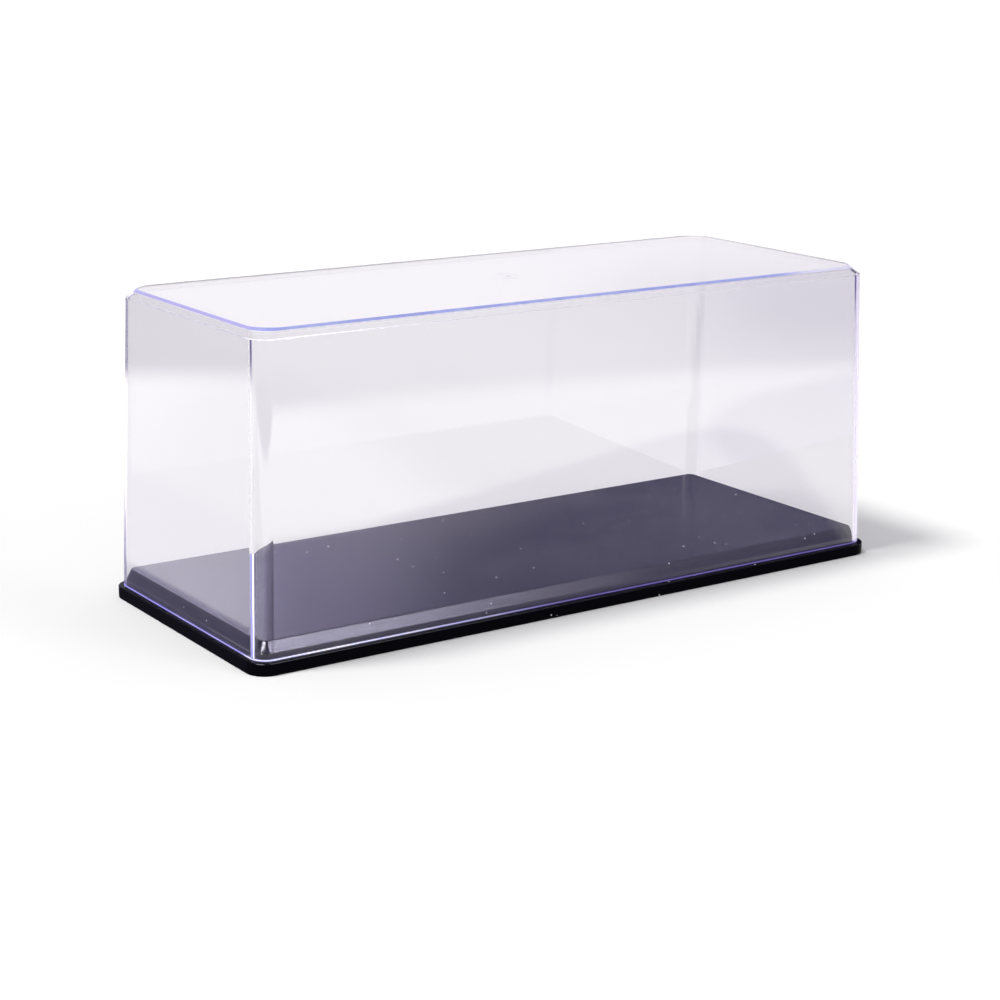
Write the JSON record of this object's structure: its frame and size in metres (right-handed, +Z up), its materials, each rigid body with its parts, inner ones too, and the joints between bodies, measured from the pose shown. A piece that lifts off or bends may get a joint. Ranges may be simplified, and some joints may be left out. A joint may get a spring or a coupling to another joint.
{
  "type": "display case",
  "caption": "Clear moulded dust cover with chamfered roof edges that stands on a glossy black moulded base with a raised, chamfered deck, for showing a scale model.",
  "frame": {"origin": "centre of the footprint, on the surface that the case stands on", "axes": "+X along the long side, +Y from the front to the back, +Z up"},
  "size_m": [0.32, 0.13, 0.1335],
  "materials": {
    "black_polystyrene": "polished black, with the deck's sheen softened by fine handling marks",
    "clear_polystyrene": "polished, clear, with a faint violet tint that gathers in its edges"
  },
  "bodies": {
    "base": {"base": "black_polystyrene"},
    "cover": {"cover": "clear_polystyrene"}
  },
  "joints": [
    {"name": "cover_lift", "type": "slide", "parent": "base", "child": "cover", "axis": [0, 0, 1], "range_m": [0, 0.15]}
  ]
}
